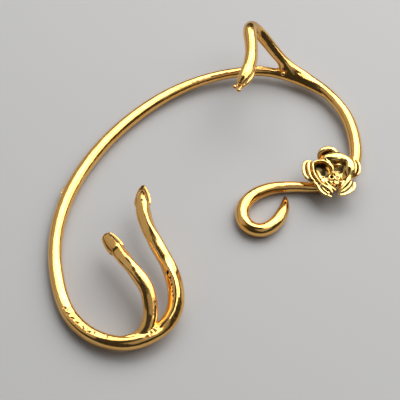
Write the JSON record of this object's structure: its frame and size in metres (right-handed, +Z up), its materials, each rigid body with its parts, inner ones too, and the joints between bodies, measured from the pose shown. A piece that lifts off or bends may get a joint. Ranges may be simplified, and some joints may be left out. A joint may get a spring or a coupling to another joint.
{
  "type": "clip-on earring",
  "caption": "Serpent ear cuff of gold-plated wire: a hoop behind the ear, a hook over its top, lobe prongs with serpent heads, a curled tail and a cast flower.",
  "frame": {"origin": "bottom centre of the box, on the surface that the earring lies on", "axes": "+Z up from that surface, +Y along the ear from the lobe prongs to the hook, +X towards the flower and the curled tail"},
  "size_m": [0.0568, 0.0641, 0.0136],
  "materials": {
    "wire_gold": "polished yellow gold plate",
    "flower_gold": "polished yellow gold plate over a cast surface"
  },
  "bodies": {
    "root": {"ear_wire": "wire_gold", "flower": "flower_gold"}
  },
  "joints": []
}
